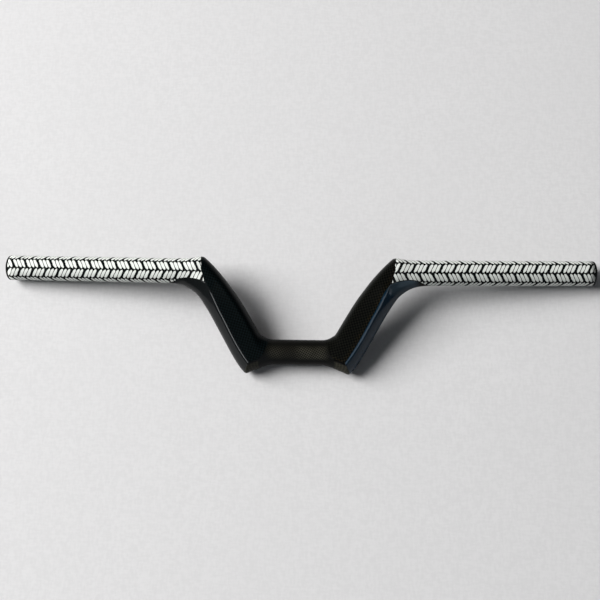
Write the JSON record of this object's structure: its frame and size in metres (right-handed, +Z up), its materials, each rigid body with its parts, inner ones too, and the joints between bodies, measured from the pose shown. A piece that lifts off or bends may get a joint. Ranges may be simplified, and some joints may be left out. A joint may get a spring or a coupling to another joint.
{
  "type": "bmx handlebar",
  "caption": "Moulded carbon BMX handlebar with creased arms, a round stem clamp zone, swept grip tubes and bar-end plugs.",
  "frame": {"origin": "centre of the stem clamp zone, on its axis", "axes": "+X along the clamp axis, towards the grip on the right of the picture; +Y along the surface the bar lies on, from the clamp towards the grips; +Z up from that surface. The bar lies as it comes to rest, on the backs of its heels and the undersides of its two ends, so its rise leans 16.5 degrees up from that surface"},
  "size_m": [0.5312, 0.1058, 0.0447],
  "materials": {
    "carbon_body": "carbon weave under glossy clear coat, with a printed black and off-white pattern on the grip tubes",
    "end_plug": "black moulded plastic with a satin surface"
  },
  "bodies": {
    "root": {"bar_body": "carbon_body", "end_plug_left": "end_plug", "end_plug_right": "end_plug"}
  },
  "joints": []
}
